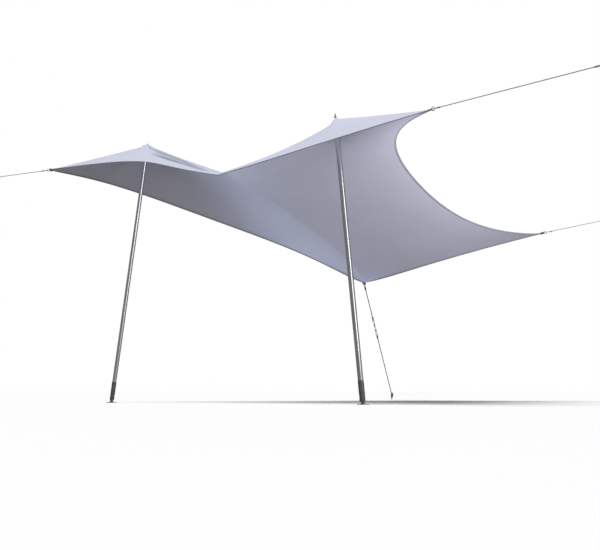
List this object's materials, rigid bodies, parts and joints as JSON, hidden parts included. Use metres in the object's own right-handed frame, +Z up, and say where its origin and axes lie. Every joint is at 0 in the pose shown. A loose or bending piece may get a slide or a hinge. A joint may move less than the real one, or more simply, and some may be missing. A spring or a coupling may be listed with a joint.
{
  "type": "stretch tent",
  "caption": "Open-sided stretch tent: one tensioned fabric sheet lifted by leaning steel masts near its front edge and held out at its corners by guys.",
  "frame": {"origin": "middle of the underside of the right mast's base plate, on the ground", "axes": "+X from the front left corner towards the front right corner, +Y from the front edge to the back, +Z up"},
  "size_m": [9.5662, 8.0893, 4.1454],
  "materials": {
    "fabric": "matt silver grey stretch knit",
    "hem": "the sheet's own fabric, folded over a cord and stitched",
    "steel": "galvanised tube, satin",
    "shoe": "matt dark grey",
    "rope": "matt braided polyester, dark grey",
    "pale_rope": "matt braided polyester, pale grey",
    "fitting": "satin galvanised"
  },
  "bodies": {
    "root": {"canopy_sheet": "fabric", "hem_front": "hem", "hem_rear_left": "hem", "hem_rear_right": "hem", "hem_right": "hem", "mast_left_base_plate": "fitting", "mast_left_shoe": "shoe", "mast_left_tube": "steel", "mast_left_head": "fitting", "mast_right_base_plate": "fitting", "mast_right_shoe": "shoe", "mast_right_tube": "steel", "mast_right_head": "fitting", "corner_front_left_clamp": "fitting", "corner_front_left_ring": "fitting", "corner_front_right_clamp": "fitting", "corner_front_right_ring": "fitting", "corner_rear_right_clamp": "fitting", "corner_rear_right_ring": "fitting", "corner_rear_low_clamp": "fitting", "corner_rear_low_ring": "fitting", "guy_front_left_rope": "pale_rope", "guy_front_left_link": "fitting", "guy_front_right_rope": "pale_rope", "guy_front_right_link": "fitting", "guy_rear_right_rope": "pale_rope", "guy_rear_right_link": "fitting", "guy_rear_low_upper_rope": "rope", "turnbuckle_upper_eye": "fitting", "turnbuckle_body": "fitting", "turnbuckle_lower_eye": "fitting", "guy_rear_low_lower_rope": "rope", "ground_stake": "fitting"}
  },
  "joints": []
}
